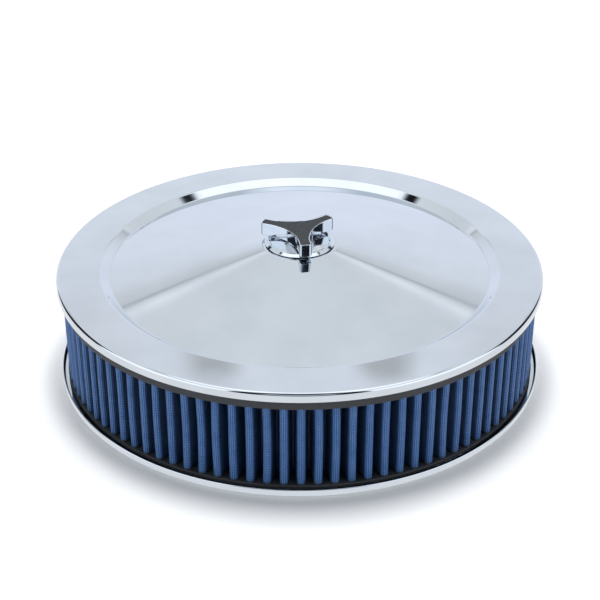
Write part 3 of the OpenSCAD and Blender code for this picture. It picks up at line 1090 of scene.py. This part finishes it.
@dataclass(frozen=True)
class Patch:
    """Part of the studio's surroundings, between two directions and two heights, in degrees.

    A direction is measured from the front, -Y, and counts the same to the left and to the right.
    """

    low_turn: float
    high_turn: float
    low: float
    high: float
    colour: str
    soft_turn: float = 3.0
    soft: float = 2.0

    def mask(self, tree: bpy.types.NodeTree, turn: bpy.types.NodeSocket,
             height: bpy.types.NodeSocket) -> bpy.types.NodeSocket:
        """Gives 1 inside the patch and 0 outside.

        Args:
            tree: The world's node tree.
            turn: Direction in degrees.
            height: Height above the horizon in degrees.

        Returns:
            The mask.
        """
        result = None
        for value, level, soft, rising in (
            (turn, self.low_turn, self.soft_turn, True), (turn, self.high_turn, self.soft_turn, False),
            (height, self.low, self.soft, True), (height, self.high, self.soft, False),
        ):
            edge = add(tree, "ShaderNodeMapRange", {
                "Value": value, "From Min": level - soft, "From Max": level + soft,
                "To Min": 0.0 if rising else 1.0, "To Max": 1.0 if rising else 0.0},
                interpolation_type="SMOOTHSTEP")
            if result is not None:
                edge = add(tree, "ShaderNodeMath", {0: result, 1: edge}, operation="MULTIPLY")
            result = edge
        return result


@dataclass
class Studio:
    """White sweep, surroundings that the chrome reflects, and the camera."""

    # The surroundings' colours are multiplied by this, so that panels brighter than white fit in a hex value.
    gain: float = 1.5
    # Share of the surroundings' light that falls on matt surfaces.
    matt_share: float = 0.5
    floor_r_m: float = 6.0
    # The soft box hangs high and a little behind: a soft shadow falls round the foot and to the front.
    box_elevation_deg: float = 78.0
    box_distance_m: float = 3.0
    box_width_m: float = 0.84
    box_length_m: float = 1.0
    box_power_w: float = 55.0
    camera_distance_mm: float = 1070.0
    camera_elevation_deg: float = 30.0
    aim_z_mm: float = 40.0
    focal_px: float = 1425.0
    frame_px: float = 600.0
    sensor_mm: float = 36.0
    centre_px: tuple[float, float] = (299.7, 308.2)

    def surroundings(self) -> list[tuple[float, str]]:
        """Gives the colours from the horizon, 0, to straight up, 1.

        Returns:
            Places and hex colours of the ramp.
        """
        return [
            (0.00, "#c9ced8"), (0.06, "#cfd4de"), (0.27, "#d1d4da"), (0.32, "#cccfd4"), (0.357, "#c1c4c5"),
            (0.372, "#bcbfc0"), (0.377, "#9c9fa3"), (0.384, "#c6c9ca"), (0.40, "#dadcde"), (0.42, "#cbced0"),
            (0.44, "#c8cbcc"), (0.655, "#ccd0d2"), (0.70, "#fafcff"), (1.00, "#ffffff"),
        ]

    def patches(self) -> list[Patch]:
        """Gives the light panels and dark gaps round the object.

        Returns:
            The patches; a later one covers an earlier one.
        """
        return [
            Patch(30, 95, -5, 40, "#f6fbff", 2.0, 4.0),
            Patch(96, 137, -5, 36, "#20242a", 2.5, 2.5),
            Patch(106, 119, 56.5, 60.5, "#15181c", 3.0, 1.2),
            Patch(-5, 30, -5, 82, "#15181c", 2.0, 3.0),
            Patch(-9, 17, 12, 50, "#8f969e", 5.0, 6.0),
            Patch(171.5, 185, 29.5, 34.5, "#ced1d6", 2.5, 1.0),
            Patch(174.8, 177, 31.5, 32.7, "#a5a6a6", 0.8, 0.4),
        ]

    def build_world(self) -> None:
        """Makes the surroundings: white for the camera, a soft studio for light and reflections."""
        world = bpy.data.worlds.new("soft_studio")
        bpy.context.scene.world = world
        world.use_nodes = True
        tree = world.node_tree
        tree.nodes.clear()
        way = add(tree, "ShaderNodeTexCoord", out="Generated")
        x, y, z = (add(tree, "ShaderNodeSeparateXYZ", {"Vector": way}, out=axis) for axis in "XYZ")
        rise = add(tree, "ShaderNodeMath", {0: z}, operation="ARCSINE")
        height = add(tree, "ShaderNodeMath", {0: rise}, operation="DEGREES")
        back = add(tree, "ShaderNodeMath", {0: y, 1: -1.0}, operation="MULTIPLY")
        swing = add(tree, "ShaderNodeMath", {0: x, 1: back}, operation="ARCTAN2")
        both = add(tree, "ShaderNodeMath", {0: swing}, operation="ABSOLUTE")
        turn = add(tree, "ShaderNodeMath", {0: both}, operation="DEGREES")
        share = add(tree, "ShaderNodeMath", {0: height, 1: 90.0}, operation="DIVIDE")
        colour = add(tree, "ShaderNodeValToRGB", {"Fac": share}, stops=self.surroundings())
        for patch in self.patches():
            mask = patch.mask(tree, turn, height)
            colour = add(tree, "ShaderNodeMixRGB", {
                "Fac": mask, "Color1": colour, "Color2": linear(patch.colour)})
        # Polished metal mirrors the panels in full. Matt surfaces get a share of them.
        glossy = add(tree, "ShaderNodeLightPath", out="Is Glossy Ray")
        strength = add(tree, "ShaderNodeMapRange", {
            "Value": glossy, "To Min": self.gain * self.matt_share, "To Max": self.gain})
        studio = add(tree, "ShaderNodeBackground", {"Color": colour, "Strength": strength})
        white = add(tree, "ShaderNodeBackground", {"Color": (1.0, 1.0, 1.0, 1.0), "Strength": 1.0})
        camera = add(tree, "ShaderNodeLightPath", out="Is Camera Ray")
        mixed = add(tree, "ShaderNodeMixShader", {0: camera, 1: studio, 2: white})
        add(tree, "ShaderNodeOutputWorld", {"Surface": mixed})

    def build_floor(self) -> None:
        """Makes the floor."""
        bpy.ops.mesh.primitive_plane_add(size=2 * self.floor_r_m, location=(0, 0, 0))
        floor = bpy.context.object
        floor.name = "studio_floor"
        floor.data.materials.append(StudioFloor().build())

    def build_soft_box(self) -> None:
        """Makes the soft box, high and a little behind. The chrome mirrors the panels and not this lamp."""
        data = bpy.data.lights.new("soft_box", "AREA")
        data.shape = "RECTANGLE"
        data.size, data.size_y = self.box_width_m, self.box_length_m
        data.energy = self.box_power_w
        box = bpy.data.objects.new("soft_box", data)
        bpy.context.scene.collection.objects.link(box)
        rise = math.radians(self.box_elevation_deg)
        away = Vector((0, math.cos(rise), math.sin(rise))) * self.box_distance_m
        box.location = away
        box.rotation_euler = away.to_track_quat("Z", "Y").to_euler()
        box.visible_glossy = False

    def build_camera(self) -> None:
        """Makes the camera at the photograph's viewing angle."""
        data = bpy.data.cameras.new("camera")
        data.sensor_width = self.sensor_mm
        data.lens = self.focal_px / self.frame_px * self.sensor_mm
        data.shift_x = (self.frame_px / 2 - self.centre_px[0]) / self.frame_px
        data.shift_y = (self.centre_px[1] - self.frame_px / 2) / self.frame_px
        camera = bpy.data.objects.new("camera", data)
        bpy.context.scene.collection.objects.link(camera)
        tilt = math.radians(self.camera_elevation_deg)
        aim = Vector((0, 0, self.aim_z_mm * MM))
        back = Vector((0, -math.cos(tilt), math.sin(tilt))) * self.camera_distance_mm * MM
        camera.location = aim + back
        camera.rotation_euler = (-back).to_track_quat("-Z", "Y").to_euler()
        bpy.context.scene.camera = camera

    def build(self) -> None:
        """Makes the studio."""
        self.build_world()
        self.build_floor()
        self.build_soft_box()
        self.build_camera()
        bpy.context.scene.view_settings.view_transform = "Standard"


def main() -> None:
    """Builds the pieces in order."""
    logging.basicConfig(level=logging.INFO, format="%(name)s: %(message)s")
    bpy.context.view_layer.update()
    studio = Studio()
    studio.build()
    for assembly in (BasePan(), Element(), Lid(), SmallParts(), Stud(), WingNut()):
        assembly.build()


if __name__ == "__main__":
    main()
